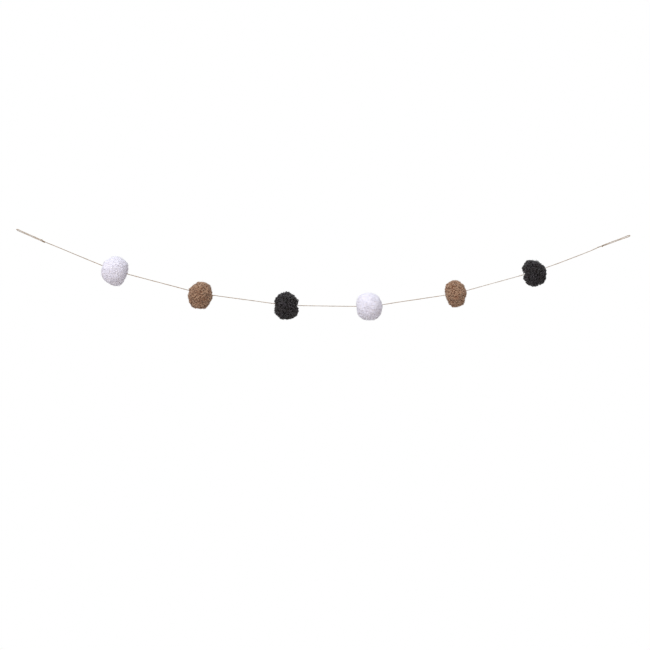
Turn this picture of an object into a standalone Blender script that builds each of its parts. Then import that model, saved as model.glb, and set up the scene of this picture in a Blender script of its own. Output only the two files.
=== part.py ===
"""Pom pom garland: six yarn pompoms threaded on thin twine, with a knotted loop at each end.

Metres, +Z up, seen along +Y. The garland hangs in a shallow curve from its two loops, close to
the XZ plane, and the origin is the middle of the left loop's eye.
"""

import math
import random

import bmesh
import bpy
from mathutils import Vector
from mathutils.geometry import interpolate_bezier

MM = 0.001

# Twine
TWINE_RADIUS = 1.05 * MM
TWINE_GAP = 0.3 * MM            # clearance of the twine in a pompom and at a knot
TUBE_RESOLUTION = 2             # eight sides
TUBE_SIDES = 4 + 2 * TUBE_RESOLUTION
SPAN_STEPS = 2                  # short runs of tube between two points of a route

# The twine's route from the left knot to the right one, in metres
STRING_ROUTE = (
    (0.0789, 0.0000, -0.0347), (0.1110, 0.0006, -0.0477), (0.1630, 0.0012, -0.0694),
    (0.2140, 0.0008, -0.0904), (0.2550, 0.0002, -0.1072), (0.2800, 0.0000, -0.1169),
    (0.3050, -0.0004, -0.1239), (0.3320, -0.0010, -0.1311), (0.3900, -0.0016, -0.1465),
    (0.4480, -0.0010, -0.1617), (0.5020, -0.0002, -0.1759), (0.5260, 0.0000, -0.1815),
    (0.5510, 0.0003, -0.1859), (0.6060, 0.0012, -0.1937), (0.6630, 0.0016, -0.2014),
    (0.7210, 0.0010, -0.2094), (0.7500, 0.0002, -0.2134), (0.7750, 0.0000, -0.2159),
    (0.8020, -0.0003, -0.2171), (0.8530, -0.0012, -0.2181), (0.9110, -0.0016, -0.2189),
    (0.9680, -0.0008, -0.2195), (0.9900, -0.0002, -0.2197), (1.0120, 0.0000, -0.2191),
    (1.0360, 0.0003, -0.2165), (1.0920, 0.0010, -0.2078), (1.1500, 0.0016, -0.1992),
    (1.2070, 0.0010, -0.1907), (1.2360, 0.0003, -0.1861), (1.2600, 0.0000, -0.1817),
    (1.2840, -0.0003, -0.1759), (1.3340, -0.0012, -0.1621), (1.3920, -0.0016, -0.1461),
    (1.4490, -0.0008, -0.1302), (1.4870, 0.0000, -0.1189), (1.5140, 0.0004, -0.1101),
    (1.5560, 0.0010, -0.0951), (1.6020, 0.0012, -0.0776), (1.6480, 0.0006, -0.0597),
    (1.6760, 0.0000, -0.0473),
)

# An end loop's route from its knot round to the tip of its eye, which is turned edge-on to
# the front: metres along the loop from where it hangs, to the back, and across. The other strand
# runs back opposite the first.
LOOP_HALF_ROUTE = (
    (0.0734, 0.0004, 0.00115), (0.0650, 0.0007, 0.00122), (0.0570, 0.0005, 0.00135),
    (0.0470, -0.0002, 0.00140), (0.0370, -0.0006, 0.00130), (0.0295, -0.0005, 0.00125),
    (0.0240, -0.0008, 0.00130), (0.0185, -0.0018, 0.00140), (0.0135, -0.0031, 0.00150),
    (0.0090, -0.0043, 0.00158), (0.0050, -0.0050, 0.00168), (0.0014, -0.0052, 0.00172),
    (-0.0016, -0.0045, 0.00150), (-0.0037, -0.0026, 0.00088), (-0.0045, 0.0000, 0.00000),
)

# End loops and knots: name, where the loop hangs, middle of the knot, and the knot's tail as
# metres along the knot from its middle, to the back, and across
ENDS = (
    ("left", (0.0, 0.0, 0.0), (0.0730, 0.0, -0.0322),
     ((0.0015, -0.0006, 0.0022), (-0.0012, -0.0018, 0.0034), (-0.0045, -0.0016, 0.0037))),
    ("right", (1.7570, 0.0, -0.0173), (1.6820, 0.0, -0.0452),
     ((0.0010, -0.0010, -0.0014), (0.0080, -0.0024, -0.0016), (0.0150, -0.0025, -0.0008))),
)

# Knot: metres along it from the loop's side, half its width across, half its depth
KNOT_SECTIONS = (
    (-0.0060, 0.0029, 0.0021),
    (-0.0048, 0.0034, 0.0029),
    (-0.0028, 0.0036, 0.0034),
    (-0.0012, 0.0030, 0.0029),
    (0.0006, 0.0035, 0.0034),
    (0.0026, 0.0033, 0.0031),
    (0.0038, 0.0027, 0.0026),
    (0.0048, 0.0025, 0.0023),
    (0.0060, 0.0016, 0.0016),
)
KNOT_SIDES = 12
KNOT_SLANT = 0.9 * MM           # how far the wraps lean along the knot

# Pompoms: name, colour, where the twine holds it along X, and in millimetres how far the
# trimmed pile reaches from the twine on each side as seen from the front, to the front and back
POMPOMS = (
    # name      colour      x      top  u_r  right l_r  bottom l_l left u_l front back
    ("pompom_1", "white", 0.2800, 41.5, 41.0, 38.0, 38.5, 44.5, 42.0, 40.5, 40.5, 39.0, 40.0),
    ("pompom_2", "tan", 0.5260, 33.5, 35.5, 34.5, 39.0, 46.5, 44.5, 37.5, 33.0, 38.0, 37.0),
    ("pompom_3", "charcoal", 0.7750, 38.0, 35.0, 34.0, 40.5, 43.0, 43.5, 38.5, 39.0, 38.0, 39.0),
    ("pompom_4", "white", 1.0120, 40.0, 38.0, 38.0, 41.0, 42.0, 42.5, 39.5, 42.0, 40.0, 39.0),
    ("pompom_5", "tan", 1.2600, 38.0, 33.0, 32.0, 36.0, 41.5, 34.5, 33.0, 37.0, 35.5, 36.0),
    ("pompom_6", "charcoal", 1.4870, 33.5, 30.0, 33.5, 41.0, 43.5, 40.5, 35.5, 37.5, 37.0, 37.5),
)
OUTLINE_SIDES = 8               # reaches in a row of the table that go round the front view

# Pompoms whose pile parts round the twine, with the side of it along the twine, and the parting's
# bottom and mouth: how far out each lies, half its depth from front to back and half its height
PARTED = {"pompom_3": 1.0, "pompom_6": -1.0}
PARTING_SECTIONS = ((0.0240, 0.0220, 0.0012), (0.0420, 0.0300, 0.0076))

# Locks of yarn, in rings round the twine from one side of a pompom to the other
LOCKS_IN_RING = (5, 9, 11, 11, 9, 5)
HOLE_HALF_ANGLE = 0.11          # radians round the twine that no lock enters
LOCK_SECTIONS = (
    # share of the reach, share of the lock's place
    (0.55, 0.70),
    (0.85, 0.92),
    (0.96, 0.79),
    (1.02, 0.46),
)
LOCK_LEAN = 0.5                 # how far a lock's end leans over, for each share past its belly
LOCK_REACH_JITTER = 0.03
CORE_SHARE = 0.80               # the bound heart of a pompom, as a share of its reach
CORE_SUBDIVISIONS = 1

COLOURS = {
    "twine": (0.50, 0.42, 0.33),
    "white": (0.80, 0.78, 0.80),
    "tan": (0.36, 0.23, 0.16),
    "charcoal": (0.045, 0.040, 0.041),
}
YARN_ROUGHNESS = 0.9


def clear_scene():
    for thing in list(bpy.context.scene.objects):
        bpy.data.objects.remove(thing, do_unlink=True)


def make_material(name):
    material = bpy.data.materials.new(name)
    material.use_nodes = True
    shader = material.node_tree.nodes["Principled BSDF"]
    shader.inputs["Base Color"].default_value = (*COLOURS[name], 1.0)
    shader.inputs["Roughness"].default_value = YARN_ROUGHNESS
    shader.inputs["Metallic"].default_value = 0.0
    return material


def add_object(name, data, material=None):
    thing = bpy.data.objects.new(name, data)
    bpy.context.scene.collection.objects.link(thing)
    if material:
        data.materials.append(material)
    return thing


def make_guide(thing):
    """A cutter or another shape that only a modifier uses."""
    thing.hide_render = True
    thing.display_type = "WIRE"
    return thing


def add_boolean(thing, operation, other):
    modifier = thing.modifiers.new(f"{operation.lower()} {other.name}", "BOOLEAN")
    modifier.operation = operation
    modifier.solver = "EXACT"
    modifier.object = other


def smooth_route(route):
    """Points on a smooth curve through a route, SPAN_STEPS short runs to a span."""
    points = [Vector(point) for point in route]
    spans = [(b - a).length for a, b in zip(points, points[1:])]
    slopes = [(b - a) / span for a, b, span in zip(points, points[1:], spans)]
    headings = [slopes[0]]
    for i in range(1, len(spans)):
        before, after = spans[i - 1], spans[i]
        headings.append((slopes[i - 1] * after + slopes[i] * before) / (before + after))
    headings.append(slopes[-1])
    samples = []
    for i, span in enumerate(spans):
        start_handle = points[i] + headings[i] * span / 3.0
        end_handle = points[i + 1] - headings[i + 1] * span / 3.0
        curve = interpolate_bezier(
            points[i], start_handle, end_handle, points[i + 1], SPAN_STEPS + 1
        )
        samples.extend(curve[:-1])
    samples.append(points[-1])
    return samples


def make_tube(name, points, radius, material=None, twist="Z_UP"):
    """A round tube with closed ends along a line of points."""
    curve = bpy.data.curves.new(name, "CURVE")
    curve.dimensions = "3D"
    curve.twist_mode = twist
    curve.bevel_depth = radius
    curve.bevel_resolution = TUBE_RESOLUTION
    curve.use_fill_caps = True
    spline = curve.splines.new("POLY")
    spline.points.add(len(points) - 1)
    for spot, point in zip(spline.points, points):
        spot.co = (*point, 1.0)
    return add_object(name, curve, material)


def mesh_from_tube(tube):
    """Turns a tube into a guide with a plain mesh, for a Boolean to use."""
    name = tube.name
    bpy.context.view_layer.update()
    graph = bpy.context.evaluated_depsgraph_get()
    mesh = bpy.data.meshes.new_from_object(tube.evaluated_get(graph))
    bpy.data.objects.remove(tube, do_unlink=True)
    return make_guide(add_object(name, mesh))


def bridge_sections(mesh, sections):
    """Joins rings of vertices into a closed skin with a flat face at each end."""
    count = len(sections[0])
    for ring, following in zip(sections, sections[1:]):
        for i in range(count):
            j = (i + 1) % count
            mesh.faces.new((ring[i], ring[j], following[j], following[i]))
    mesh.faces.new(list(reversed(sections[0])))
    mesh.faces.new(sections[-1])


def place_along(thing, start, end):
    """Puts a shape made along +X at start, turned so that +X points to end."""
    way = Vector(end) - Vector(start)
    thing.location = start
    thing.rotation_euler = (0.0, -math.atan2(way.z, way.x), 0.0)


def make_loop(side, hanger, knot, material):
    other = [(along, -deep, -across) for along, deep, across in LOOP_HALF_ROUTE[-2::-1]]
    line = smooth_route([*LOOP_HALF_ROUTE, *other])
    loop = make_tube(f"{side}_loop", line, TWINE_RADIUS, material, twist="MINIMUM")
    place_along(loop, hanger, knot)


def make_knot(side, hanger, knot, tail, material):
    """An overhand knot of slanted wraps, with a flat end on each side and a short tail."""
    mesh = bmesh.new()
    last = len(KNOT_SECTIONS) - 1
    rings = []
    for i, (along, half_across, half_depth) in enumerate(KNOT_SECTIONS):
        slant = 0.0 if i in (0, last) else KNOT_SLANT
        ring = []
        for k in range(KNOT_SIDES):
            angle = 2.0 * math.pi * (k + 0.5) / KNOT_SIDES
            ring.append(mesh.verts.new((
                along + slant * math.sin(angle),
                half_depth * math.cos(angle),
                half_across * math.sin(angle),
            )))
        rings.append(ring)
    bridge_sections(mesh, rings)
    bmesh.ops.recalc_face_normals(mesh, faces=mesh.faces)
    data = bpy.data.meshes.new(f"{side}_knot")
    mesh.to_mesh(data)
    mesh.free()
    body = add_object(f"{side}_knot", data, material)
    tail_tube = make_tube(f"{side}_tail", smooth_route(tail), TWINE_RADIUS)
    tail_guide = mesh_from_tube(tail_tube)
    tail_guide.parent = body
    add_boolean(body, "UNION", tail_guide)
    beyond = Vector(knot) * 2.0 - Vector(hanger)
    place_along(body, knot, beyond)


def reach(row, way):
    """How far the pile reaches from the twine in a direction, from a pompom's row."""
    outline = row[3:3 + OUTLINE_SIDES]
    front, back = row[3 + OUTLINE_SIDES:]
    turn = math.atan2(way.x, way.z) / (2.0 * math.pi) * OUTLINE_SIDES
    low = math.floor(turn)
    ease = 0.5 - 0.5 * math.cos(math.pi * (turn - low))
    a = outline[low % OUTLINE_SIDES]
    b = outline[(low + 1) % OUTLINE_SIDES]
    in_plane = a + (b - a) * ease
    depth = front if way.y < 0.0 else back
    share = way.x ** 2 + way.z ** 2
    return (in_plane * share + depth * (1.0 - share)) * MM


def ring_angles():
    """Angles from the twine that divide a pompom into rings of equal places."""
    total = sum(LOCKS_IN_RING)
    angles = [0.0]
    for count in LOCKS_IN_RING:
        step = 2.0 * count / total
        angles.append(math.acos(max(-1.0, math.cos(angles[-1]) - step)))
    return angles


def make_locks(row, centre, axis, chance):
    """The locks of one pompom as one mesh of closed four-sided tufts."""
    side = axis.cross(Vector((0.0, 1.0, 0.0))).normalized()
    depth = axis.cross(side)

    def way(angle, turn):
        outward = side * math.cos(turn) + depth * math.sin(turn)
        return axis * math.cos(angle) + outward * math.sin(angle)

    mesh = bmesh.new()
    angles = ring_angles()
    for ring, count in enumerate(LOCKS_IN_RING):
        low = max(angles[ring], HOLE_HALF_ANGLE)
        high = min(angles[ring + 1], math.pi - HOLE_HALF_ANGLE)
        start = chance.uniform(0.0, 2.0 * math.pi)
        for k in range(count):
            first = start + 2.0 * math.pi * k / count
            second = start + 2.0 * math.pi * (k + 1) / count
            corners = [way(low, first), way(low, second), way(high, second), way(high, first)]
            middle = sum(corners, Vector()).normalized()
            lean = Vector([chance.uniform(-LOCK_LEAN, LOCK_LEAN) for _ in range(3)])
            height = 1.0 + chance.uniform(-LOCK_REACH_JITTER, LOCK_REACH_JITTER)
            sections = []
            for reach_share, place_share in LOCK_SECTIONS:
                sections.append([])
                for corner in corners:
                    wander = lean * max(0.0, reach_share - LOCK_SECTIONS[1][0])
                    point = (middle.lerp(corner, place_share) + wander).normalized()
                    distance = reach(row, point) * reach_share * height
                    sections[-1].append(mesh.verts.new(centre + point * distance))
            bridge_sections(mesh, sections)
    bmesh.ops.recalc_face_normals(mesh, faces=mesh.faces)
    data = bpy.data.meshes.new(f"{row[0]}_locks")
    mesh.to_mesh(data)
    mesh.free()
    return make_guide(add_object(data.name, data))


def make_parting(name, centre, outward):
    """A wedge that parts the pile from front to back, round the twine."""
    mesh = bmesh.new()
    rings = [
        [mesh.verts.new((out, depth * y, height * z))
         for y, z in ((-1.0, -1.0), (1.0, -1.0), (1.0, 1.0), (-1.0, 1.0))]
        for out, depth, height in PARTING_SECTIONS
    ]
    bridge_sections(mesh, rings)
    bmesh.ops.recalc_face_normals(mesh, faces=mesh.faces)
    data = bpy.data.meshes.new(name)
    mesh.to_mesh(data)
    mesh.free()
    wedge = make_guide(add_object(name, data))
    place_along(wedge, centre, centre + outward)
    return wedge


def make_pompom(row, twine, material, seed):
    """A bound heart with locks of yarn all round it, and a hole where the twine goes through."""
    x = row[2]
    near = min(range(1, len(twine) - 1), key=lambda i: abs(twine[i].x - x))
    centre = twine[near]
    axis = (twine[near + 1] - twine[near - 1]).normalized()

    mesh = bmesh.new()
    bmesh.ops.create_icosphere(mesh, subdivisions=CORE_SUBDIVISIONS, radius=1.0)
    for vertex in mesh.verts:
        point = vertex.co.normalized()
        vertex.co = centre + point * reach(row, point) * CORE_SHARE
    name = f"{row[0]}_{row[1]}"
    data = bpy.data.meshes.new(name)
    mesh.to_mesh(data)
    mesh.free()
    body = add_object(name, data, material)

    add_boolean(body, "UNION", make_locks(row, centre, axis, random.Random(seed)))
    if row[0] in PARTED:
        parting = make_parting(f"{name}_parting", centre, axis * PARTED[row[0]])
        add_boolean(body, "DIFFERENCE", parting)
    reach_most = max(row[3:]) * MM
    hole = [point for point in twine if (point - centre).length < 2.0 * reach_most]
    flat = math.cos(math.pi / TUBE_SIDES)
    cutter = make_tube(f"{name}_hole", hole, TWINE_RADIUS + TWINE_GAP / flat)
    add_boolean(body, "DIFFERENCE", mesh_from_tube(cutter))


def main():
    clear_scene()
    materials = {name: make_material(name) for name in COLOURS}
    twine = smooth_route(STRING_ROUTE)
    make_tube("string", twine, TWINE_RADIUS, materials["twine"])
    for side, hanger, knot, tail in ENDS:
        make_loop(side, hanger, knot, materials["twine"])
        make_knot(side, hanger, knot, tail, materials["twine"])
    for seed, row in enumerate(POMPOMS, start=1):
        make_pompom(row, twine, materials[row[1]], seed)


main()
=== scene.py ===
"""Dresses the pom pom garland: twisted twine, knots and six yarn pom poms, with a plain studio.

The file is laid out as a Blender add-on and run as a script. Everything is in metres, +Z up, in
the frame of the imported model, whose origin is the eye of the left loop.
"""

import math
import random
from collections import namedtuple
from functools import partial

import bmesh
import bpy
from mathutils import Matrix, Vector
from mathutils.geometry import interpolate_bezier


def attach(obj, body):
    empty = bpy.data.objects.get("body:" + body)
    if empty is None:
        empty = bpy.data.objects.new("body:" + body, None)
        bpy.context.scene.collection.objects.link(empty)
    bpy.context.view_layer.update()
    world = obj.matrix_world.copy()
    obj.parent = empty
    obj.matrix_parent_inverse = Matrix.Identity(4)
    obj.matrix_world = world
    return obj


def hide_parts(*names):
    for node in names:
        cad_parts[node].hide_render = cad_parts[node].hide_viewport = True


bl_info = {
    "name": "Pom Pom Garland",
    "version": (1, 0, 0),
    "blender": (4, 5, 0),
    "location": "3D View > Sidebar > Garland",
    "description": "Makes the twine, the knots and the yarn pom poms of a garland, and a studio",
    "category": "Object",
}

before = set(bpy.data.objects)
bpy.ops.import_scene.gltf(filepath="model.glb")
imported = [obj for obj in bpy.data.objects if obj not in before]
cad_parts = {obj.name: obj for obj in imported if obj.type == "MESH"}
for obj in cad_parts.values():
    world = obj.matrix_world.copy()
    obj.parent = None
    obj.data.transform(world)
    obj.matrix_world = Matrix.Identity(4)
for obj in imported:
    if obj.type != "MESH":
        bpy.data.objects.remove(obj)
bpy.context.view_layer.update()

MM = 0.001

# The picture: its width in pixels, one pixel's size on the garland, and where the origin shows
PICTURE_WIDTH = 650
PIXEL = 2.878 * MM
ORIGIN_COLUMN = 18.0
ORIGIN_ROW = 230.09

# The twine's route from the left knot to the right one, as in the solids, with a short run more
# at each end, inside the knot
STRING_ROUTE = (
    (0.0736, 0.0000, -0.0324),
    (0.0789, 0.0000, -0.0347), (0.1110, 0.0006, -0.0477), (0.1630, 0.0012, -0.0694),
    (0.2140, 0.0008, -0.0904), (0.2550, 0.0002, -0.1072), (0.2800, 0.0000, -0.1169),
    (0.3050, -0.0004, -0.1239), (0.3320, -0.0010, -0.1311), (0.3900, -0.0016, -0.1465),
    (0.4480, -0.0010, -0.1617), (0.5020, -0.0002, -0.1759), (0.5260, 0.0000, -0.1815),
    (0.5510, 0.0003, -0.1859), (0.6060, 0.0012, -0.1937), (0.6630, 0.0016, -0.2014),
    (0.7210, 0.0010, -0.2094), (0.7500, 0.0002, -0.2134), (0.7750, 0.0000, -0.2159),
    (0.8020, -0.0003, -0.2171), (0.8530, -0.0012, -0.2181), (0.9110, -0.0016, -0.2189),
    (0.9680, -0.0008, -0.2195), (0.9900, -0.0002, -0.2197), (1.0120, 0.0000, -0.2191),
    (1.0360, 0.0003, -0.2165), (1.0920, 0.0010, -0.2078), (1.1500, 0.0016, -0.1992),
    (1.2070, 0.0010, -0.1907), (1.2360, 0.0003, -0.1861), (1.2600, 0.0000, -0.1817),
    (1.2840, -0.0003, -0.1759), (1.3340, -0.0012, -0.1621), (1.3920, -0.0016, -0.1461),
    (1.4490, -0.0008, -0.1302), (1.4870, 0.0000, -0.1189), (1.5140, 0.0004, -0.1101),
    (1.5560, 0.0010, -0.0951), (1.6020, 0.0012, -0.0776), (1.6480, 0.0006, -0.0597),
    (1.6760, 0.0000, -0.0473),
    (1.6813, 0.0000, -0.0454),
)

# How full the long twine is at places along X, as a share of its common thickness. Spun twine runs
# from thick to thin, and the photograph shows its first stretches as the thickest.
FULLNESS = (
    (0.163, 1.08), (0.407, 1.08), (0.652, 0.97), (0.893, 0.92), (1.138, 1.04), (1.374, 0.80),
    (1.593, 1.00),
)

# One strand of an end loop from inside its knot to the tip of its eye: metres along the loop from
# where it hangs, to the back, and across. The other strand runs back opposite the first.
LOOP_HALF_ROUTE = (
    (0.0790, 0.0003, 0.00060),
    (0.0734, 0.0004, 0.00115), (0.0650, 0.0007, 0.00122), (0.0570, 0.0005, 0.00135),
    (0.0470, -0.0002, 0.00140), (0.0370, -0.0006, 0.00130), (0.0295, -0.0005, 0.00125),
    (0.0240, -0.0008, 0.00130), (0.0185, -0.0018, 0.00140), (0.0135, -0.0031, 0.00150),
    (0.0090, -0.0043, 0.00158), (0.0050, -0.0050, 0.00168), (0.0014, -0.0052, 0.00172),
    (-0.0016, -0.0045, 0.00150), (-0.0037, -0.0026, 0.00088), (-0.0045, 0.0000, 0.00000),
)

# End loops and knots: name, where the loop hangs, middle of the knot, turns of its wrap, and its
# tail as metres along the knot from its middle, to the back, and across
ENDS = (
    ("left", (0.0, 0.0, 0.0), (0.0739, 0.0, -0.0326), 3.5,
     ((-0.0042, -0.0022, 0.0016), (-0.0060, -0.0018, 0.0028), (-0.0082, -0.0012, 0.0034))),
    ("right", (1.7570, 0.0, -0.0173), (1.6820, 0.0, -0.0452), 1.5,
     ((0.0044, -0.0026, -0.0004), (0.0090, -0.0026, -0.0010), (0.0150, -0.0024, -0.0014))),
)

# A pom pom: where the twine holds it along X, how far the trimmed pile reaches to the front and
# to the back, in millimetres, and its outline as seen from the front: how far it reaches from the
# twine every 15 degrees, clockwise from the top, in millimetres
Pompom = namedtuple("Pompom", "number colour x front back outline")
POMPOMS = (
    Pompom(1, "white", 0.2800, 39.0, 40.0, (
        42, 42, 41.5, 41, 41.5, 39, 37.5, 36.5, 36.5, 37, 42.5, 45,
        44.5, 43, 41.5, 42, 42.5, 42, 40.5, 39.5, 41, 41.5, 38, 41)),
    Pompom(2, "tan", 0.5260, 38.0, 37.0, (
        33, 34, 34, 36, 35, 33, 33.5, 37.5, 37.5, 37.5, 42.5, 47,
        46, 46, 47, 44.5, 40.5, 39.5, 36, 37, 33, 33, 32, 33.5)),
    Pompom(3, "charcoal", 0.7750, 38.0, 39.0, (
        38, 37, 36, 35, 33.5, 35, 32.5, 35, 39, 40.5, 41, 41.5,
        42.5, 43.5, 44.5, 43, 42.5, 38.5, 37.5, 40, 39, 39.5, 38.5, 38.5)),
    Pompom(4, "white", 1.0120, 40.0, 39.0, (
        40, 38.5, 39, 38.5, 36.5, 37, 38.5, 37.5, 39, 41, 42, 42,
        41, 42, 43, 42.5, 41, 39, 39.5, 40, 42, 43, 41.5, 40.5)),
    Pompom(5, "tan", 1.2600, 35.5, 36.0, (
        38, 36.5, 33.5, 33, 31, 33, 31.5, 30.5, 31.5, 35, 39.5, 40,
        41, 41, 37.5, 33, 32, 33, 32, 33.5, 35.5, 37.5, 37, 39)),
    Pompom(6, "charcoal", 1.4870, 37.0, 37.5, (
        33.5, 31.5, 29.5, 28.5, 30, 33, 33, 34, 36.5, 41.5, 42.5, 42.5,
        43.5, 43, 42.5, 39, 38.5, 34, 34, 37.5, 37.5, 37.5, 38.5, 34)),
)

# How the yarns differ. The first five are shares of the common pile. drop is how far the heart
# lies under the roots, and cuts is how much of the scissor cuts shows. The white closes over its
# gaps and rounds off its cuts, and the charcoal is cut the roughest.
Yarn = namedtuple("Yarn", "thickness spacing length depth unevenness drop cuts")
YARNS = {
    "white": Yarn(0.93, 0.70, 0.92, 0.08, 0.13, 0.15 * MM, 0.45),
    "tan": Yarn(0.92, 0.77, 0.90, 0.45, 0.70, 0.2 * MM, 1.0),
    "charcoal": Yarn(0.95, 0.88, 1.0, 1.05, 1.25, 1.2 * MM, 1.0),
}
YARN_STEPS = 8                  # points along a yarn end
YARN_SIDES = 6
YARN_PLIES = 2
YARN_BULGE = 0.18               # how far its plies stand out, as a share of its radius
YARN_ROOT = 1.5 * MM            # how deep it is rooted
YARN_WIND = 4.2                 # how far round it winds, in radians
YARN_DIP = 2.2 * MM             # how far its tip dips
YARN_THINS = 0.75               # how much of its thickness its tip loses, as a share
YARN_CROWD = 400000.0           # the most roots to a square metre
HEART_UNDER = 0.65              # how far under the pile the heart starts, in yarn thicknesses
HEART_KNOB = 0.8 * MM           # how far its knobs rise and fall

# Loose fibres on the pile
FLUFF_CROWD = 62000.0           # fibres to a square metre
FLUFF_RADIUS = 0.06 * MM
FLUFF_ROOT = 1.0 * MM           # how deep they are rooted under the pile's top
FLUFF_RISE = 1.6 * MM
FLUFF_BOW = 3.2 * MM            # about how far a tip lies to the side

# Scissor cuts that give a pom pom its flat places
CUTS = 26
CUT_DEPTH = 0.965               # where a cut lies, as a share of the pile's reach there
CUT_CREST = 1.035               # the most that a crest between two cuts keeps
CUT_JITTER = 0.2                # how far a cut's way strays
GOLDEN_ANGLE = 2.39996          # radians from each cut to the next, which spreads them evenly

# Where the front view's outline takes over from the cuts, and over what share more
RIM_FROM = 0.70
RIM_BLEND = 0.25

# The twine's plies, as shares of its thickness, and how far that drifts
PLY_RADIUS = 0.255
PLY_LAY = 0.245                 # from the twine's middle to a ply's
PLY_SIDES = 6
THINNEST = 0.84
THICKEST = 1.16
TWIST_STEPS = 9.0               # points along the twine to one turn of its plies
TWIST_DRIFT = 0.7               # how far a loose or tight stretch shifts the twist, in turns

# Loose fibres on the twine
HAIR_RADIUS = 0.07 * MM
HAIR_ROOT = 0.8 * MM            # from the twine's middle
HAIR_RISE = 1.1 * MM
HAIR_LEAN = 2.6 * MM            # the most that a tip lies along the twine
HAIR_STEPS = 4                  # points along a loose fibre
HAIR_SIDES = 3

# Where the pile parts round the twine, how deep and how wide, and the two places where it parts
# furthest, each a pom pom's number and its side along the twine
PARTING = (3.5 * MM, 5.0 * MM)
DEEP_PARTING = (23.0 * MM, 6.0 * MM)
DEEP_PARTINGS = ((3, 1.0), (6, -1.0))
DEEP_NARROWS = 0.35             # how fast a deep one closes to the front and back, as a share

# What a loose fibre keeps in place of a yarn's way along and round it, which is too fine there
SMOOTH = {"along": 0.0, "around_a": 0.0, "around_b": 0.0}

# Knot wraps
WRAP_STEPS = 12                 # points to a turn
WRAP_ACROSS = 1.8 * MM
WRAP_DEEP = 2.0 * MM
WRAP_PITCH = 2.45 * MM
WRAP_SLANT = 0.8 * MM
WRAP_SAG = 0.6 * MM             # how far they sag below the twine

# The studio: how widely each light spreads, and two corners of the floor
SUN_SPREAD = math.radians(60.0)
FLOOR_FRONT_LEFT = (-0.9, -1.2)
FLOOR_BACK_RIGHT = (2.7, 1.2)

# What a noise texture mostly keeps to
NOISE = {"From Min": 0.3, "From Max": 0.7}

# What all lengths, and all colours, in the sidebar have
LENGTH = {"subtype": "DISTANCE", "unit": "LENGTH"}
COLOUR = {"size": 3, "subtype": "COLOR"}


def linear(hex_colour):
    """An sRGB hex colour as the linear red, green and blue that the shaders want."""
    channels = [int(hex_colour[i:i + 2], 16) / 255.0 for i in (1, 3, 5)]
    return tuple(c / 12.92 if c <= 0.04045 else ((c + 0.055) / 1.055) ** 2.4 for c in channels)


class GarlandTwine(bpy.types.PropertyGroup):
    """Sizes and colour of the twine."""

    thickness: bpy.props.FloatProperty(
        name="Thickness", description="Thickness of the twine over its plies",
        default=2.1 * MM, **LENGTH,
    )
    plies: bpy.props.IntProperty(
        name="Plies", description="Yarns twisted together in the twine", default=3,
    )
    pitch: bpy.props.FloatProperty(
        name="Pitch", description="Length of twine in which a ply goes once round",
        default=10.5 * MM, **LENGTH,
    )
    hair_spacing: bpy.props.FloatProperty(
        name="Hair Spacing", description="Length of twine between two loose fibres",
        default=2.6 * MM, **LENGTH,
    )
    colour: bpy.props.FloatVectorProperty(
        name="Colour", description="Colour of the twine's fibres",
        default=linear("#9E8568"), **COLOUR,
    )


class GarlandPile(bpy.types.PropertyGroup):
    """Sizes and colours of the pom poms' yarn."""

    thickness: bpy.props.FloatProperty(
        name="Yarn Thickness", description="Thickness of one fluffy yarn end",
        default=3.6 * MM, **LENGTH,
    )
    length: bpy.props.FloatProperty(
        name="Yarn Length", description="Length of yarn that lies over at the surface",
        default=8.0 * MM, **LENGTH,
    )
    depth: bpy.props.FloatProperty(
        name="Pile Depth", description="Depth of open pile above the packed heart",
        default=4.2 * MM, **LENGTH,
    )
    curl: bpy.props.FloatProperty(
        name="Curl", description="How far a yarn end winds to each side",
        default=1.5 * MM, **LENGTH,
    )
    unevenness: bpy.props.FloatProperty(
        name="Unevenness", description="How far the pile rises and falls over its surface",
        default=2.6 * MM, **LENGTH,
    )
    spacing: bpy.props.FloatProperty(
        name="Spacing", description="Least distance between two yarn ends at their roots",
        default=3.2 * MM, **LENGTH,
    )
    white: bpy.props.FloatVectorProperty(
        name="White", description="Colour of the white yarn",
        default=linear("#E9E8FA"), **COLOUR,
    )
    tan: bpy.props.FloatVectorProperty(
        name="Tan", description="Colour of the tan yarn",
        default=linear("#A48369"), **COLOUR,
    )
    charcoal: bpy.props.FloatVectorProperty(
        name="Charcoal", description="Colour of the charcoal yarn",
        default=linear("#151117"), **COLOUR,
    )


class GarlandStage(bpy.types.PropertyGroup):
    """The camera's lens and the studio's lights."""

    lens: bpy.props.FloatProperty(
        name="Lens", description="Focal length of the camera", default=85.0, unit="CAMERA",
    )
    drop: bpy.props.FloatProperty(
        name="Floor Drop", description="How far the floor lies below the garland's origin",
        default=2.0, **LENGTH,
    )
    key: bpy.props.FloatProperty(
        name="Key Light", description="Strength of the soft light from the upper left",
        default=1.95,
    )
    back: bpy.props.FloatProperty(
        name="Back Light", description="Strength of the soft light from behind and above",
        default=0.6,
    )
    fill: bpy.props.FloatProperty(
        name="Fill Light", description="Strength of the even light from all round",
        default=0.60,
    )


def add(tree, kind, inputs=(), **settings):
    """Adds a node: settings are its own properties, inputs gives each socket a value or a link."""
    node = tree.nodes.new(kind)
    for name, value in settings.items():
        setattr(node, name, value)
    for key, value in dict(inputs).items():
        if isinstance(value, bpy.types.Node):
            value = value.outputs[0]
        if isinstance(value, bpy.types.NodeSocket):
            tree.links.new(value, node.inputs[key])
        else:
            node.inputs[key].default_value = value
    return node


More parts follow.
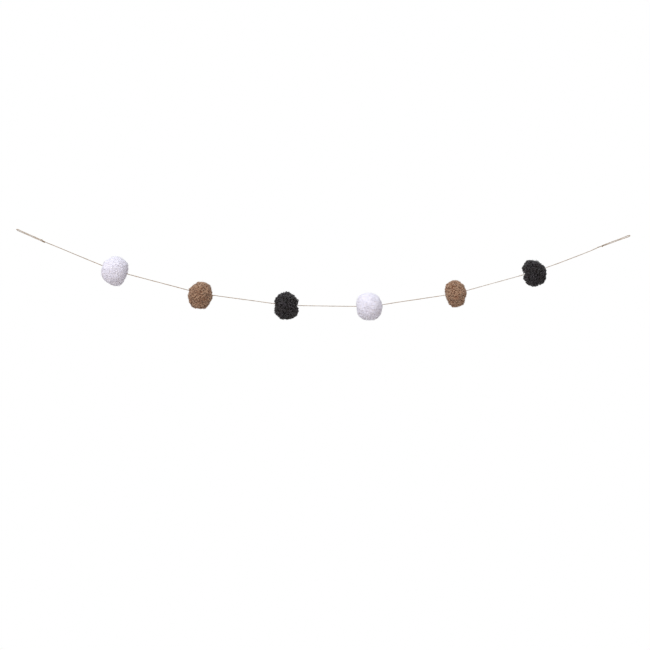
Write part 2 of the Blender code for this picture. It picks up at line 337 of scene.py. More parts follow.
def new_tree(name, sockets):
    """An empty Geometry Nodes tree with named inputs, and what its input node gives."""
    tree = bpy.data.node_groups.new(name, "GeometryNodeTree")
    tree.interface.new_socket("Geometry", in_out="INPUT", socket_type="NodeSocketGeometry")
    for label, kind in sockets:
        tree.interface.new_socket(label, in_out="INPUT", socket_type=f"NodeSocket{kind}")
    tree.interface.new_socket("Geometry", in_out="OUTPUT", socket_type="NodeSocketGeometry")
    return tree, tree.nodes.new("NodeGroupInput").outputs


def stored(tree, geometry, values, domain="POINT"):
    """Keeps named values on a geometry's points, as vectors or as plain numbers."""
    for name, value in values.items():
        is_vector = name.startswith(("way_", "outward"))
        geometry = add(tree, "GeometryNodeStoreNamedAttribute", {
            "Geometry": geometry, "Name": name, "Value": value,
        }, data_type="FLOAT_VECTOR" if is_vector else "FLOAT", domain=domain)
    return geometry


def section(tree, sides, radius, plies=0, swell=0.0):
    """The outline of a yarn, which bulges where a ply is, marked with its way round."""
    put = partial(add, tree)
    circle = put("GeometryNodeCurvePrimitiveCircle", {"Resolution": sides, "Radius": radius})
    turn = put("ShaderNodeMath", {
        0: put("GeometryNodeSplineParameter").outputs["Factor"], 1: math.tau,
    }, operation="MULTIPLY")
    lobe = put("ShaderNodeMath", {0: turn, 1: float(plies)}, operation="MULTIPLY")
    bulge = put("ShaderNodeMath", {0: lobe}, operation="COSINE")
    size = put("ShaderNodeMath", {0: bulge, 1: swell, 2: 1.0}, operation="MULTIPLY_ADD")
    marked = stored(tree, circle, {
        "around_a": put("ShaderNodeMath", {0: turn}, operation="COSINE"),
        "around_b": put("ShaderNodeMath", {0: turn}, operation="SINE"),
    })
    place = put("ShaderNodeVectorMath", {
        0: put("GeometryNodeInputPosition"), "Scale": size,
    }, operation="SCALE")
    return put("GeometryNodeSetPosition", {"Geometry": marked, "Position": place})


def strands(tree, points, path, count, outline, scale=1.0, tilt=0.0, marks=None):
    """One closed tube from each point, bent to a path that is worked out along it."""
    put = partial(add, tree)
    line = put("GeometryNodeCurvePrimitiveLine", {"End": (0.0, 0.0, MM)})
    cut = put("GeometryNodeResampleCurve", {"Curve": line, "Count": count})
    laid = put("GeometryNodeInstanceOnPoints", {"Points": points, "Instance": cut})
    real = put("GeometryNodeRealizeInstances", {"Geometry": laid})
    marked = stored(tree, real, marks or {})
    bent = put("GeometryNodeSetPosition", {"Geometry": marked, "Position": path})
    turned = put("GeometryNodeSetCurveTilt", {"Curve": bent, "Tilt": tilt})
    return put("GeometryNodeCurveToMesh", {
        "Curve": turned, "Profile Curve": outline, "Scale": scale, "Fill Caps": True,
    })


def finish_tree(tree, given, parts):
    """Joins, realizes, smooths and paints what a tree made, and drops what only helped it grow."""
    both = add(tree, "GeometryNodeJoinGeometry")
    for part in parts:
        tree.links.new(part.outputs[0], both.inputs[0])
    real = add(tree, "GeometryNodeRealizeInstances", {"Geometry": both})
    smooth = add(tree, "GeometryNodeSetShadeSmooth", {"Geometry": real})
    clean = add(tree, "GeometryNodeRemoveAttribute", {"Geometry": smooth, "Name": "way_*"},
                pattern_mode="WILDCARD")
    painted = add(tree, "GeometryNodeSetMaterial", {
        "Geometry": clean, "Material": given["Material"],
    })
    add(tree, "NodeGroupOutput", {0: painted})
    return tree


def grow(name, base, tree, values):
    """Runs a tree on a mesh and returns what it made as a plain mesh object at the origin."""
    holder = bpy.data.objects.new(f"{name}_base", base)
    bpy.context.scene.collection.objects.link(holder)
    modifier = holder.modifiers.new(tree.name, "NODES")
    modifier.node_group = tree
    for item in tree.interface.items_tree:
        if item.in_out == "INPUT" and item.name in values:
            modifier[item.identifier] = values[item.name]
    bpy.context.view_layer.update()
    graph = bpy.context.evaluated_depsgraph_get()
    mesh = bpy.data.meshes.new_from_object(holder.evaluated_get(graph))
    bpy.data.objects.remove(holder, do_unlink=True)
    if not mesh.polygons:
        raise RuntimeError(f"{tree.name} made nothing for {name}")
    mesh.name = name
    piece = bpy.data.objects.new(name, mesh)
    bpy.context.scene.collection.objects.link(piece)
    return piece


def smooth_route(route, steps):
    """Points on a smooth curve through a route, with the given number of runs to a span."""
    points = [Vector(point) for point in route]
    spans = [(b - a).length for a, b in zip(points, points[1:])]
    slopes = [(b - a) / span for a, b, span in zip(points, points[1:], spans)]
    headings = [slopes[0]]
    for i in range(1, len(spans)):
        before, after = spans[i - 1], spans[i]
        headings.append((slopes[i - 1] * after + slopes[i] * before) / (before + after))
    headings.append(slopes[-1])
    samples = []
    for i, span in enumerate(spans):
        start_handle = points[i] + headings[i] * span / 3.0
        end_handle = points[i + 1] - headings[i + 1] * span / 3.0
        curve = interpolate_bezier(points[i], start_handle, end_handle, points[i + 1], steps + 1)
        samples.extend(curve[:-1])
    samples.append(points[-1])
    return samples


def fullness_at(x):
    """How full the long twine is at a place along X."""
    if x <= FULLNESS[0][0]:
        return FULLNESS[0][1]
    for (low, before), (high, after) in zip(FULLNESS, FULLNESS[1:]):
        if x <= high:
            return before + (after - before) * (x - low) / (high - low)
    return FULLNESS[-1][1]


def line_mesh(name, line, fullness=lambda x: 1.0):
    """A mesh of edges alone along a line of points, with the twine's fullness at each of them."""
    mesh = bpy.data.meshes.new(name)
    mesh.from_pydata(line, [(i, i + 1) for i in range(len(line) - 1)], [])
    full = mesh.attributes.new("way_full", "FLOAT", "POINT")
    full.data.foreach_set("value", [fullness(point.x) for point in line])
    return mesh


def end_placement(start, end):
    """The matrix that puts a shape made along +X at start, with +X pointing to end."""
    way = Vector(end) - Vector(start)
    turn = Matrix.Rotation(-math.atan2(way.z, way.x), 4, "Y")
    return Matrix.Translation(start) @ turn


def twine_tree():
    """Sweeps twisted plies along each line of a mesh, with loose fibres on them."""
    tree, given = new_tree("twisted twine", (
        ("Thickness", "Float"), ("Plies", "Int"), ("Pitch", "Float"), ("Hair Spacing", "Float"),
        ("Seed", "Int"), ("Material", "Material"),
    ))
    put = partial(add, tree)

    # The line, finely cut and tilted so that the plies go round it. It drifts from thick to thin
    # and from loose to tight about every 14 mm.
    line = put("GeometryNodeMeshToCurve", {"Mesh": given["Geometry"]})
    step = put("ShaderNodeMath", {0: given["Pitch"], 1: TWIST_STEPS}, operation="DIVIDE")
    fine = put("GeometryNodeResampleCurve", {"Curve": line, "Length": step}, mode="LENGTH")
    along = put("GeometryNodeSplineParameter").outputs["Length"]
    drift = put("ShaderNodeTexNoise", {
        "Vector": put("GeometryNodeInputPosition"), "Scale": 70.0, "Detail": 1.0,
    }).outputs[0]
    turns = put("ShaderNodeMath", {0: along, 1: given["Pitch"]}, operation="DIVIDE")
    uneven = put("ShaderNodeMath", {0: drift, 1: TWIST_DRIFT, 2: turns}, operation="MULTIPLY_ADD")
    tilt = put("ShaderNodeMath", {0: uneven, 1: math.tau}, operation="MULTIPLY")
    twisted = put("GeometryNodeSetCurveTilt", {"Curve": fine, "Tilt": tilt})
    kept = stored(tree, twisted, {"along": along})

    # The plies' outlines, side by side round the twine's middle
    ply = put("ShaderNodeMath", {0: given["Thickness"], 1: PLY_RADIUS}, operation="MULTIPLY")
    lay = put("ShaderNodeMath", {0: given["Thickness"], 1: PLY_LAY}, operation="MULTIPLY")
    ring = put("GeometryNodeCurvePrimitiveCircle", {
        "Resolution": given["Plies"], "Radius": lay,
    })
    toned = stored(tree, ring, {"tone": put("GeometryNodeInputIndex")})
    laid = put("GeometryNodeInstanceOnPoints", {
        "Points": toned, "Instance": section(tree, PLY_SIDES, ply),
    })
    profile = put("GeometryNodeRealizeInstances", {"Geometry": laid})
    swell = put("ShaderNodeMapRange", {
        "Value": drift, **NOISE, "To Min": THINNEST, "To Max": THICKEST,
    })
    full = put("GeometryNodeInputNamedAttribute", {"Name": "way_full"}, data_type="FLOAT")
    size = put("ShaderNodeMath", {0: swell, 1: full}, operation="MULTIPLY")
    body = put("GeometryNodeCurveToMesh", {
        "Curve": kept, "Profile Curve": profile, "Scale": size, "Fill Caps": True,
    })

    # Loose fibres that stand off the twine and lean along it
    spots = put("GeometryNodeCurveToPoints", {
        "Curve": line, "Length": given["Hair Spacing"],
    }, mode="LENGTH")
    chance = put("FunctionNodeRandomValue", {
        0: (-1.0, -1.0, -1.0), 1: (1.0, 1.0, 1.0), "Seed": given["Seed"],
    }, data_type="FLOAT_VECTOR")
    side = put("ShaderNodeVectorMath", {0: spots.outputs["Tangent"], 1: chance},
               operation="CROSS_PRODUCT")
    off = put("ShaderNodeVectorMath", {0: side}, operation="NORMALIZE")
    push = put("FunctionNodeRandomValue", {2: -1.0, 3: 1.0, "Seed": given["Seed"]})
    lean = put("ShaderNodeVectorMath", {0: spots.outputs["Tangent"], "Scale": push.outputs[1]},
               operation="SCALE")
    rooted = stored(tree, spots, {
        "way_root": put("GeometryNodeInputPosition"), "way_off": off, "way_lean": lean,
    })
    factor = put("GeometryNodeSplineParameter").outputs["Factor"]
    root, out, over = (
        put("GeometryNodeInputNamedAttribute", {"Name": name}, data_type="FLOAT_VECTOR")
        for name in ("way_root", "way_off", "way_lean")
    )
    stand = put("ShaderNodeMath", {0: factor, 1: HAIR_RISE, 2: HAIR_ROOT}, operation="MULTIPLY_ADD")
    bow = put("ShaderNodeMath", {0: factor, 1: 2.0}, operation="POWER")
    along_by = put("ShaderNodeMath", {0: bow, 1: HAIR_LEAN}, operation="MULTIPLY")
    raised = put("ShaderNodeVectorMath", {0: out, 1: stand, 2: root}, operation="MULTIPLY_ADD")
    spot = put("ShaderNodeVectorMath", {0: over, 1: along_by, 2: raised}, operation="MULTIPLY_ADD")
    hair = section(tree, HAIR_SIDES, HAIR_RADIUS)
    hairs = stored(tree, strands(tree, rooted, spot, HAIR_STEPS, hair), SMOOTH)
    return finish_tree(tree, given, (body, hairs))


def pile_tree():
    """Grows curled yarn ends and loose fibres all over a pom pom's heart."""
    tree, given = new_tree("yarn pile", (
        ("Thickness", "Float"), ("Length", "Float"), ("Depth", "Float"), ("Curl", "Float"),
        ("Unevenness", "Float"), ("Spacing", "Float"), ("Heart Drop", "Float"), ("Seed", "Int"),
        ("Material", "Material"),
    ))
    put = partial(add, tree)
    bare = put("GeometryNodeInputNormal")
    inward = put("ShaderNodeVectorMath", {0: bare, "Scale": -1.0}, operation="SCALE")
    place = put("GeometryNodeInputPosition")
    fine = put("GeometryNodeSubdivideMesh", {"Mesh": given["Geometry"]})
    # The heart is knobbly, with a knob about every 3 mm, as packed yarn is
    knobs = put("ShaderNodeTexNoise", {"Vector": place, "Scale": 330.0, "Detail": 1.0})
    knob = put("ShaderNodeMapRange", {
        "Value": knobs, **NOISE, "To Min": HEART_KNOB, "To Max": -HEART_KNOB,
    })
    down = put("ShaderNodeMath", {0: given["Heart Drop"], 1: knob}, operation="ADD")
    dropped = put("ShaderNodeVectorMath", {0: inward, "Scale": down}, operation="SCALE")
    lower = put("GeometryNodeSetPosition", {"Geometry": fine, "Offset": dropped})
    packed = put("ShaderNodeVectorMath", {0: place, "Scale": 260.0}, operation="SCALE")
    ways = put("ShaderNodeSeparateXYZ", {0: packed}).outputs
    # Painted shade: the heart takes the root shade in full, and a tone below the ends' mean
    heart = stored(tree, lower, {
        "tone": 0.35, "height": 0.0, "outward": bare,
        "along": ways["X"], "around_a": ways["Y"], "around_b": ways["Z"],
    })

    # Roots of the yarn ends, each with its way out, the way it lies over, and its chances
    roots = put("GeometryNodeDistributePointsOnFaces", {
        "Mesh": given["Geometry"], "Distance Min": given["Spacing"], "Density Max": YARN_CROWD,
        "Seed": given["Seed"],
    }, distribute_method="POISSON")
    out = roots.outputs["Normal"]
    wild = put("FunctionNodeRandomValue", {
        0: (-1.0, -1.0, -1.0), 1: (1.0, 1.0, 1.0), "Seed": given["Seed"],
    }, data_type="FLOAT_VECTOR")
    level = put("ShaderNodeVectorMath", {0: out, 1: wild}, operation="CROSS_PRODUCT")
    lie = put("ShaderNodeVectorMath", {0: level}, operation="NORMALIZE")
    side = put("ShaderNodeVectorMath", {0: out, 1: lie}, operation="CROSS_PRODUCT")
    # The pile rises and falls in lumps about 12 mm wide, and a little from end to end
    lumps = put("ShaderNodeTexNoise", {"Vector": place, "Scale": 85.0, "Detail": 0.0})
    lump = put("ShaderNodeMapRange", {
        "Value": lumps, **NOISE, "To Min": -0.5, "To Max": 0.5,
    })
    loose = put("FunctionNodeRandomValue", {2: -0.35, 3: 0.35, "Seed": given["Seed"]})
    offset = put("ShaderNodeMath", {0: lump, 1: loose.outputs[1]}, operation="ADD")
    # Two more seeds, so that no two of a yarn end's chances agree
    seeds = [
        put("ShaderNodeMath", {0: given["Seed"], 1: more}, operation="ADD") for more in (50, 90)
    ]
    rooted = stored(tree, roots, {
        "way_root": place, "way_out": out, "way_lie": lie, "way_side": side, "outward": out,
        "lift": put("ShaderNodeMath", {0: offset, 1: given["Unevenness"]}, operation="MULTIPLY"),
        "phase": put("FunctionNodeRandomValue", {2: 0.0, 3: math.tau, "Seed": seeds[0]}).outputs[1],
        "tone": put("FunctionNodeRandomValue", {2: 0.0, 3: 1.0, "Seed": seeds[1]}).outputs[1],
    })

    # A yarn end rises out of the heart in its first half, then lies over, winds about two thirds
    # of a turn, and dips and thins at its tip
    factor = put("GeometryNodeSplineParameter").outputs["Factor"]
    root, way_out, way_lie, way_side = (
        put("GeometryNodeInputNamedAttribute", {"Name": name}, data_type="FLOAT_VECTOR")
        for name in ("way_root", "way_out", "way_lie", "way_side")
    )
    lift, phase = (
        put("GeometryNodeInputNamedAttribute", {"Name": name}, data_type="FLOAT")
        for name in ("lift", "phase")
    )
    top = put("ShaderNodeMath", {0: given["Depth"], 1: lift}, operation="ADD")
    rise = put("ShaderNodeMapRange", {
        "Value": factor, "From Max": 0.5, "To Min": -YARN_ROOT, "To Max": top,
    }, interpolation_type="SMOOTHSTEP")
    slide = put("ShaderNodeMapRange", {
        "Value": factor, "From Min": 0.2, "To Max": given["Length"],
    })
    spread = put("ShaderNodeMapRange", {
        "Value": factor, "From Min": 0.15, "From Max": 0.6, "To Max": given["Curl"],
    })
    angle = put("ShaderNodeMath", {0: factor, 1: YARN_WIND, 2: phase}, operation="MULTIPLY_ADD")
    swing = put("ShaderNodeMath", {0: angle}, operation="SINE")
    wind = put("ShaderNodeMath", {0: swing, 1: spread}, operation="MULTIPLY")
    heave = put("ShaderNodeMath", {0: angle}, operation="COSINE")
    droop = put("ShaderNodeMath", {0: factor, 1: 4.0}, operation="POWER")
    tucked = put("ShaderNodeMath", {0: droop, 1: -YARN_DIP, 2: rise}, operation="MULTIPLY_ADD")
    waved = put("ShaderNodeMath", {0: heave, 1: 0.4}, operation="MULTIPLY")
    height = put("ShaderNodeMath", {0: waved, 1: spread, 2: tucked}, operation="MULTIPLY_ADD")
    risen = put("ShaderNodeVectorMath", {0: way_out, 1: height, 2: root}, operation="MULTIPLY_ADD")
    laid = put("ShaderNodeVectorMath", {0: way_lie, 1: slide, 2: risen}, operation="MULTIPLY_ADD")
    wound = put("ShaderNodeVectorMath", {0: way_side, 1: wind, 2: laid}, operation="MULTIPLY_ADD")
    half = put("ShaderNodeMath", {0: given["Thickness"], 1: 0.5}, operation="MULTIPLY")
    tip = put("ShaderNodeMath", {0: factor, 1: 5.0}, operation="POWER")
    taper = put("ShaderNodeMath", {0: tip, 1: -YARN_THINS, 2: 1.0}, operation="MULTIPLY_ADD")
    twist = put("ShaderNodeMath", {0: factor, 1: 4.0, 2: phase}, operation="MULTIPLY_ADD")
    yarn = section(tree, YARN_SIDES, half, YARN_PLIES, YARN_BULGE)
    tubes = strands(tree, rooted, wound, YARN_STEPS, yarn, taper, twist, {"along": factor})
    from_root = put("ShaderNodeVectorMath", {0: place, 1: root}, operation="SUBTRACT")
    above = put("ShaderNodeVectorMath", {0: from_root, 1: way_out}, operation="DOT_PRODUCT")
    crown = put("ShaderNodeMath", {0: given["Depth"], 1: half}, operation="ADD")
    # Painted shade: an end's height over its root sets how much root shade it takes
    ends = stored(tree, tubes, {"height": put("ShaderNodeMapRange", {
        "Value": above.outputs["Value"], "From Max": crown,
    })})

    # Loose fibres that stand a little off the pile
    thin = put("GeometryNodeDistributePointsOnFaces", {
        "Mesh": given["Geometry"], "Density": FLUFF_CROWD, "Seed": seeds[0],
    })
    stray = put("FunctionNodeRandomValue", {
        0: (-1.0, -1.0, -1.0), 1: (1.0, 1.0, 1.0), "Seed": seeds[1],
    }, data_type="FLOAT_VECTOR")
    thin_rooted = stored(tree, thin, {
        "way_root": put("GeometryNodeInputPosition"), "way_out": thin.outputs["Normal"],
        "way_lie": stray, "tone": 0.8, "outward": thin.outputs["Normal"],
    })
    stand = put("ShaderNodeMapRange", {
        "Value": factor, "From Max": 0.6, "To Max": FLUFF_RISE,
    })
    reach = put("ShaderNodeMath", {0: crown, 1: stand}, operation="ADD")
    sunk = put("ShaderNodeMath", {0: reach, 1: FLUFF_ROOT}, operation="SUBTRACT")
    up = put("ShaderNodeVectorMath", {0: way_out, 1: sunk, 2: root}, operation="MULTIPLY_ADD")
    bow_by = put("ShaderNodeMath", {0: factor, 1: FLUFF_BOW}, operation="MULTIPLY")
    bowed = put("ShaderNodeVectorMath", {0: way_lie, 1: bow_by, 2: up}, operation="MULTIPLY_ADD")
    hair = section(tree, HAIR_SIDES, FLUFF_RADIUS)
    thin_tubes = strands(tree, thin_rooted, bowed, HAIR_STEPS, hair, marks={"height": 1.0})
    fibres = stored(tree, thin_tubes, SMOOTH)
    return finish_tree(tree, given, (heart, ends, fibres))


def new_material(name, **values):
    """A material, its node tree and its main shader, with the shader's plain values set."""
    material = bpy.data.materials.new(name)
    material.use_nodes = True
    tree = material.node_tree
    shader = tree.nodes["Principled BSDF"]
    for key, value in values.items():
        shader.inputs[key.replace("_", " ").title().replace("Ior", "IOR")].default_value = value
    return material, tree, shader


def twine_material(colour):
    """Natural cotton twine, spun and twisted: matt, with streaks of lighter and darker fibre."""
    material, tree, shader = new_material("natural cotton twine", roughness=0.85,
                                          sheen_weight=0.15, sheen_roughness=0.5)
    put = partial(add, tree)
    # Fibres run along a ply, about 4 mm before they go under; drawn 5 to 6 round it. The shade also
    # drifts over about 17 mm.
    along, around_a, around_b = (
        put("ShaderNodeAttribute", attribute_name=mark).outputs["Fac"]
        for mark in ("along", "around_a", "around_b")
    )
    run = put("ShaderNodeMath", {0: along, 1: 4.0 * MM}, operation="DIVIDE")
    spot = put("ShaderNodeCombineXYZ", {"X": run, "Y": around_a, "Z": around_b})
    fibres = put("ShaderNodeTexNoise", {"Vector": spot, "Scale": 2.2, "Detail": 3.0})
    places = put("ShaderNodeTexCoord").outputs["Object"]
    drift = put("ShaderNodeTexNoise", {"Vector": places, "Scale": 60.0, "Detail": 2.0})
    both = put("ShaderNodeMath", {0: fibres, 1: drift}, operation="ADD")
    # The first ply is the palest, so each turn of the twist shows
    tone = put("ShaderNodeAttribute", attribute_name="tone").outputs["Fac"]
    plies = put("ShaderNodeMath", {0: tone, 1: -0.30, 2: both}, operation="MULTIPLY_ADD")
    value = put("ShaderNodeMapRange", {
        "Value": plies, "From Min": 0.1, "From Max": 1.3, "To Min": 0.50, "To Max": 1.60,
    })
    tinted = put("ShaderNodeHueSaturation", {"Value": value, "Color": (*colour, 1.0)})
    tree.links.new(tinted.outputs[0], shader.inputs["Base Color"])
    bump = put("ShaderNodeBump", {"Strength": 0.6, "Distance": 0.15 * MM, "Height": fibres})
    tree.links.new(bump.outputs[0], shader.inputs["Normal"])
    return material


def yarn_material(name, colour, painted_root_shade, fluff, shades, **values):
    """Brushed wool yarn cut in a pile: soft, with painted shade darker and warmer between the ends.

    fluff is how far the light on it follows the pile, as it does on loose fibres, and not each
    yarn end. shades are the darkest and the lightest that its fibres come, as shares.
    """
    material, tree, shader = new_material(f"brushed {name} wool yarn", **values)
    put = partial(add, tree)
    # Fibres run along a yarn end, in clumps about 0.6 mm wide and 4 mm long. One by one they are
    # finer than can be drawn, so the lines on a clump are 0.1 mm wide, some five times too coarse.
    # Where a yarn end is shifts its pattern, so that no two match.
    along, around_a, around_b = (
        put("ShaderNodeAttribute", attribute_name=mark).outputs["Fac"]
        for mark in ("along", "around_a", "around_b")
    )
    places = put("ShaderNodeTexCoord").outputs["Object"]
    part = put("ShaderNodeVectorMath", {0: places, "Scale": 30.0}, operation="SCALE")
    run = put("ShaderNodeCombineXYZ", {"X": along, "Y": around_a, "Z": around_b})
    spot = put("ShaderNodeVectorMath", {0: run, 1: (1.6, 2.2, 2.2), 2: part},
               operation="MULTIPLY_ADD")
    broad = put("ShaderNodeTexNoise", {"Vector": spot, "Scale": 1.6, "Detail": 3.0})
    lines = put("ShaderNodeTexNoise", {"Vector": spot, "Scale": 7.0, "Detail": 2.0})
    clumps = put("ShaderNodeMix", {0: 0.35, 2: broad, 3: lines})
    tone = put("ShaderNodeAttribute", attribute_name="tone").outputs["Fac"]
    height = put("ShaderNodeAttribute", attribute_name="height").outputs["Fac"]
    mixed = put("ShaderNodeMath", {0: tone, 1: clumps}, operation="ADD")
    light = put("ShaderNodeMapRange", {
        "Value": mixed, "From Min": 0.3, "From Max": 1.7, "To Min": shades[0],
        "To Max": shades[1],
    })
    # Painted shade: the root shade low in the pile, the yarn's own colour at its top
    dye_and_painted_shade = put("ShaderNodeMix", {0: height, 6: (*painted_root_shade, 1.0), 7: (*colour, 1.0)},
               data_type="RGBA").outputs[2]
    tinted = put("ShaderNodeHueSaturation", {"Value": light, "Color": dye_and_painted_shade})
    tree.links.new(tinted.outputs[0], shader.inputs["Base Color"])
    outward = put("ShaderNodeAttribute", attribute_name="outward").outputs["Vector"]
    facing = put("ShaderNodeNewGeometry").outputs["Normal"]
    leaned = put("ShaderNodeMix", {0: fluff, 4: facing, 5: outward},
                 data_type="VECTOR").outputs[1]
    level = put("ShaderNodeVectorMath", {0: leaned}, operation="NORMALIZE")
    bump = put("ShaderNodeBump", {
        "Strength": 0.8, "Distance": 0.30 * MM, "Height": clumps, "Normal": level,
    })
    tree.links.new(bump.outputs[0], shader.inputs["Normal"])
    return material


def twine_values(settings, material, seed):
    """What the twine's tree is given for one piece."""
    return {
        "Thickness": settings.thickness, "Plies": settings.plies, "Pitch": settings.pitch,
        "Hair Spacing": settings.hair_spacing, "Seed": seed, "Material": material,
    }


def knot_line(hanger, knot, turns, tail):
    """The wraps of a knot from the back, and the tail that leaves their front, as one line."""
    pitch = math.copysign(WRAP_PITCH, tail[-1][0])
    wraps = []
    for i in range(round(turns * WRAP_STEPS) + 1):
        turn = i / WRAP_STEPS
        angle = math.tau * (turn - turns)
        along = (turn - turns / 2.0) * pitch + WRAP_SLANT * math.sin(angle)
        wraps.append((along, -WRAP_DEEP * math.cos(angle), WRAP_ACROSS * math.sin(angle)))
    beyond = Vector(knot) * 2.0 - Vector(hanger)
    placement = Matrix.Translation((0.0, 0.0, -WRAP_SAG)) @ end_placement(knot, beyond)
    points = [*map(Vector, wraps[:-1]), *smooth_route([wraps[-1], *tail], 4)]
    return [placement @ point for point in points]


def outline_reach(outline, way):
    """How far the pile reaches at the outline seen from the front, in a direction."""
    sides = len(outline)
    turn = math.atan2(way.x, way.z) / math.tau * sides
    low = math.floor(turn)
    ease = 0.5 - 0.5 * math.cos(math.pi * (turn - low))
    a = outline[low % sides]
    b = outline[(low + 1) % sides]
    return a + (b - a) * ease


def broad_reach(outline, way):
    """The outline's reach with its small steps smoothed out."""
    turned = [Matrix.Rotation(math.radians(d), 3, "Y") @ way for d in (-30, -15, 0, 15, 30)]
    return sum(outline_reach(outline, side) for side in turned) / len(turned)


def pile_reach(row, cuts, way):
    """How far the trimmed pile reaches from the twine in a direction."""
    in_plane = way.x ** 2 + way.z ** 2
    depth = row.front if way.y < 0.0 else row.back
    round_reach = broad_reach(row.outline, way) * in_plane + depth * (1.0 - in_plane)
    trimmed = min(CUT_DEPTH / max(0.5, way.dot(cut)) for cut in cuts)
    cut_reach = round_reach * (1.0 + (min(CUT_CREST, trimmed) - 1.0) * YARNS[row.colour].cuts)
    near = min(1.0, max(0.0, (in_plane - RIM_FROM) / RIM_BLEND))
    return (cut_reach + (outline_reach(row.outline, way) - cut_reach) * near) * MM


def scissor_cuts(chance):
    """Directions spread over a ball, a little at random, that flat cuts face."""
    cuts = []
    for i in range(CUTS):
        height = 1.0 - 2.0 * (i + 0.5) / CUTS
        turn = GOLDEN_ANGLE * i
        level = math.sqrt(1.0 - height * height)
        way = Vector((level * math.cos(turn), level * math.sin(turn), height))
        way += Vector([chance.uniform(-CUT_JITTER, CUT_JITTER) for _ in range(3)])
        cuts.append(way.normalized())
    return cuts


def heart_mesh(row, line, under):
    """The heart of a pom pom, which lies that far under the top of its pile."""
    near = min(range(1, len(line) - 1), key=lambda i: abs(line[i].x - row.x))
    centre = line[near]
    axis = (line[near + 1] - line[near - 1]).normalized()
    cuts = scissor_cuts(random.Random(row.number))
    mesh = bmesh.new()
    bmesh.ops.create_icosphere(mesh, subdivisions=4, radius=1.0)
    for vertex in mesh.verts:
        way = vertex.co.normalized()
        distance = pile_reach(row, cuts, way) - under
        side = math.copysign(1.0, way.dot(axis))
        off = (way - axis * way.dot(axis)) * distance
        deep, wide = PARTING
        if (row.number, side) in DEEP_PARTINGS:
            deep, wide = DEEP_PARTING
            off.y *= DEEP_NARROWS
        from_twine = off.length
        distance -= deep * math.exp(-(from_twine / wide) ** 2)
        vertex.co = centre + way * distance
    data = bpy.data.meshes.new(f"heart_{row.number}")
    mesh.to_mesh(data)
    mesh.free()
    return data


class GARLAND_OT_stage(bpy.types.Operator):
    """Makes the camera, the lights and a pale floor far below the garland"""

    bl_idname = "garland.stage"
    bl_label = "Make Studio"

    def execute(self, context):
        settings = context.scene.garland_stage
        camera = bpy.data.cameras.new("camera")
        camera.lens = settings.lens
        distance = settings.lens / camera.sensor_width * PICTURE_WIDTH * PIXEL
        middle = PICTURE_WIDTH / 2.0
        holder = bpy.data.objects.new("camera", camera)
        holder.location = (
            (middle - ORIGIN_COLUMN) * PIXEL, -distance, -(middle - ORIGIN_ROW) * PIXEL
        )
        holder.rotation_euler = (math.pi / 2.0, 0.0, 0.0)
        context.scene.collection.objects.link(holder)
        context.scene.camera = holder

        lights = (("key_light", settings.key, (0.32, 0.80, -0.50)),
                  ("back_light", settings.back, (-0.20, -0.75, -0.60)))
        for name, strength, way in lights:
            sun = bpy.data.lights.new(name, "SUN")
            sun.energy = strength
            sun.angle = SUN_SPREAD
            light = bpy.data.objects.new(name, sun)
            light.rotation_euler = Vector(way).to_track_quat("-Z", "Y").to_euler()
            context.scene.collection.objects.link(light)

        # The paper all round is white to the eye. It gives less light than it shows, cool from
        # above, and weaker and warm from below.
        world = bpy.data.worlds.new("white studio")
        world.use_nodes = True
        tree = world.node_tree
        way = add(tree, "ShaderNodeTexCoord").outputs["Generated"]
        rise = add(tree, "ShaderNodeSeparateXYZ", {0: way}).outputs["Z"]
        height = add(tree, "ShaderNodeMapRange", {
            "Value": rise, "From Min": -1.0, "From Max": 1.0,
        })
        below = Vector(linear("#FFD6C3")) * settings.fill * 0.5
        above = Vector(linear("#F5FBFB")) * settings.fill * 1.5
        given = add(tree, "ShaderNodeMix", {0: height, 6: (*below, 1.0), 7: (*above, 1.0)},
                    data_type="RGBA").outputs[2]
        seen = add(tree, "ShaderNodeLightPath").outputs["Is Camera Ray"]
        shown = add(tree, "ShaderNodeMix", {0: seen, 6: given, 7: (1.0, 1.0, 1.0, 1.0)},
                    data_type="RGBA").outputs[2]
        paper = tree.nodes["Background"]
        tree.links.new(shown, paper.inputs["Color"])
        context.scene.world = world
        context.scene.view_settings.view_transform = "Standard"

        left, front = FLOOR_FRONT_LEFT
        right, back = FLOOR_BACK_RIGHT
        corners = [(left, front), (right, front), (right, back), (left, back)]
        data = bpy.data.meshes.new("studio_floor")
        data.from_pydata([(x, y, -settings.drop) for x, y in corners], [], [(0, 1, 2, 3)])
        # Matt paint from a roller, whose shade drifts a little over about 110 mm
        material, floor_tree, shader = new_material("pale painted board", roughness=0.8)
        places = add(floor_tree, "ShaderNodeTexCoord").outputs["Object"]
        mottle = add(floor_tree, "ShaderNodeTexNoise", {"Vector": places, "Scale": 9.0})
        value = add(floor_tree, "ShaderNodeMapRange", {
            "Value": mottle, "To Min": 0.98, "To Max": 1.02,
        })
        tinted = add(floor_tree, "ShaderNodeHueSaturation", {
            "Value": value, "Color": (*linear("#F6F6F4"), 1.0),
        })
        floor_tree.links.new(tinted.outputs[0], shader.inputs["Base Color"])
        data.materials.append(material)
        floor = bpy.data.objects.new("studio_floor", data)
        context.scene.collection.objects.link(floor)
        return {"FINISHED"}


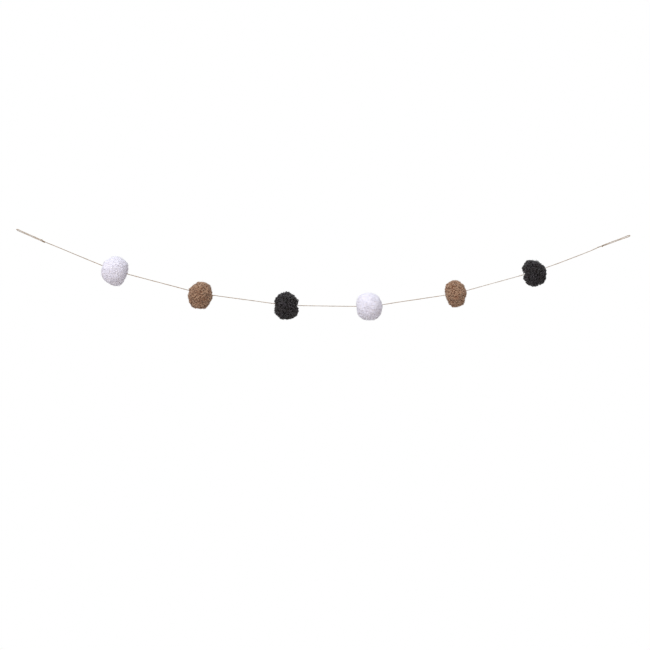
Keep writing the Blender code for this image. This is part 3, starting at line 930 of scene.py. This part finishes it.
class GARLAND_OT_twine(bpy.types.Operator):
    """Makes the long twine, the two end loops and their knots"""

    bl_idname = "garland.twine"
    bl_label = "Make Twine and Knots"

    def execute(self, context):
        settings = context.scene.garland_twine
        material = twine_material(settings.colour)
        tree = twine_tree()
        for seed, (side, hanger, knot, turns, tail) in enumerate(ENDS, start=1):
            placement = end_placement(hanger, knot)
            other = [(along, -deep, -across) for along, deep, across in LOOP_HALF_ROUTE[-2::-1]]
            line = [placement @ p for p in smooth_route([*LOOP_HALF_ROUTE, *other], 4)]
            name = f"{side}_twine_loop"
            values = twine_values(settings, material, seed)
            loop = grow(name, line_mesh(name, line), tree, values)
            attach(loop, "root")
            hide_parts(f"{side}_loop")
            name = f"{side}_twine_knot"
            wraps = line_mesh(name, knot_line(hanger, knot, turns, tail))
            knotted = grow(name, wraps, tree, values)
            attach(knotted, "root")
            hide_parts(f"{side}_knot")
        line = smooth_route(STRING_ROUTE, 4)
        values = twine_values(settings, material, len(ENDS) + 1)
        route = line_mesh("long_twine", line, fullness_at)
        string = grow("long_twine", route, tree, values)
        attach(string, "root")
        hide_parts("string")
        return {"FINISHED"}


class GARLAND_OT_pompoms(bpy.types.Operator):
    """Makes the six yarn pom poms"""

    bl_idname = "garland.pompoms"
    bl_label = "Make Pom Poms"

    def execute(self, context):
        settings = context.scene.garland_pile
        # The second colour of each is its painted root shade, warmer than its own colour
        materials = {
            # Undyed fibres pass light on from one to the next, so their shade stays soft
            "white": yarn_material("white", settings.white, linear("#EFEAF3"), 0.50,
                                   (0.95, 1.04), roughness=0.95, sheen_weight=0.25,
                                   sheen_roughness=0.6),
            "tan": yarn_material("tan", settings.tan, linear("#805133"), 0.10, (0.70, 1.24),
                                 roughness=0.9, sheen_weight=0.25, sheen_roughness=0.6),
            # Dark fibres hide their own shade, so what shows is the gloss on each yarn end
            "charcoal": yarn_material("charcoal", settings.charcoal, linear("#1A1412"), 0.10,
                                      (0.15, 3.20), roughness=0.38, specular_ior_level=0.42,
                                      sheen_weight=0.10, sheen_roughness=0.5),
        }
        tree = pile_tree()
        line = smooth_route(STRING_ROUTE, 2)
        for row in POMPOMS:
            yarn = YARNS[row.colour]
            thickness = settings.thickness * yarn.thickness
            depth = settings.depth * yarn.depth
            name = f"{row.colour}_yarn_pompom_{row.number}"
            heart = heart_mesh(row, line, depth + thickness * HEART_UNDER)
            pompom = grow(name, heart, tree, {
                "Thickness": thickness, "Length": settings.length * yarn.length, "Depth": depth,
                "Curl": settings.curl, "Unevenness": settings.unevenness * yarn.unevenness,
                "Spacing": settings.spacing * yarn.spacing, "Heart Drop": yarn.drop,
                "Seed": row.number * 10, "Material": materials[row.colour],
            })
            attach(pompom, "root")
            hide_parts(f"pompom_{row.number}_{row.colour}")
        return {"FINISHED"}


class GARLAND_PT_sidebar(bpy.types.Panel):
    """Lists what makes the garland"""

    bl_idname = "GARLAND_PT_sidebar"
    bl_label = "Pom Pom Garland"
    bl_space_type = "VIEW_3D"
    bl_region_type = "UI"
    bl_category = "Garland"

    def draw(self, context):
        groups = (context.scene.garland_stage, context.scene.garland_twine,
                  context.scene.garland_pile)
        for group, operator in zip(groups, OPERATORS):
            box = self.layout.box()
            for name in group.__annotations__:
                box.prop(group, name)
            box.operator(operator.bl_idname)


OPERATORS = (GARLAND_OT_stage, GARLAND_OT_twine, GARLAND_OT_pompoms)
CLASSES = (GarlandTwine, GarlandPile, GarlandStage, *OPERATORS, GARLAND_PT_sidebar)


def register():
    for kind in CLASSES:
        bpy.utils.register_class(kind)
    bpy.types.Scene.garland_twine = bpy.props.PointerProperty(type=GarlandTwine)
    bpy.types.Scene.garland_pile = bpy.props.PointerProperty(type=GarlandPile)
    bpy.types.Scene.garland_stage = bpy.props.PointerProperty(type=GarlandStage)


def unregister():
    del bpy.types.Scene.garland_stage
    del bpy.types.Scene.garland_pile
    del bpy.types.Scene.garland_twine
    for kind in reversed(CLASSES):
        bpy.utils.unregister_class(kind)


def main():
    register()
    bpy.ops.garland.stage()
    bpy.ops.garland.twine()
    bpy.ops.garland.pompoms()


if __name__ == "__main__":
    main()
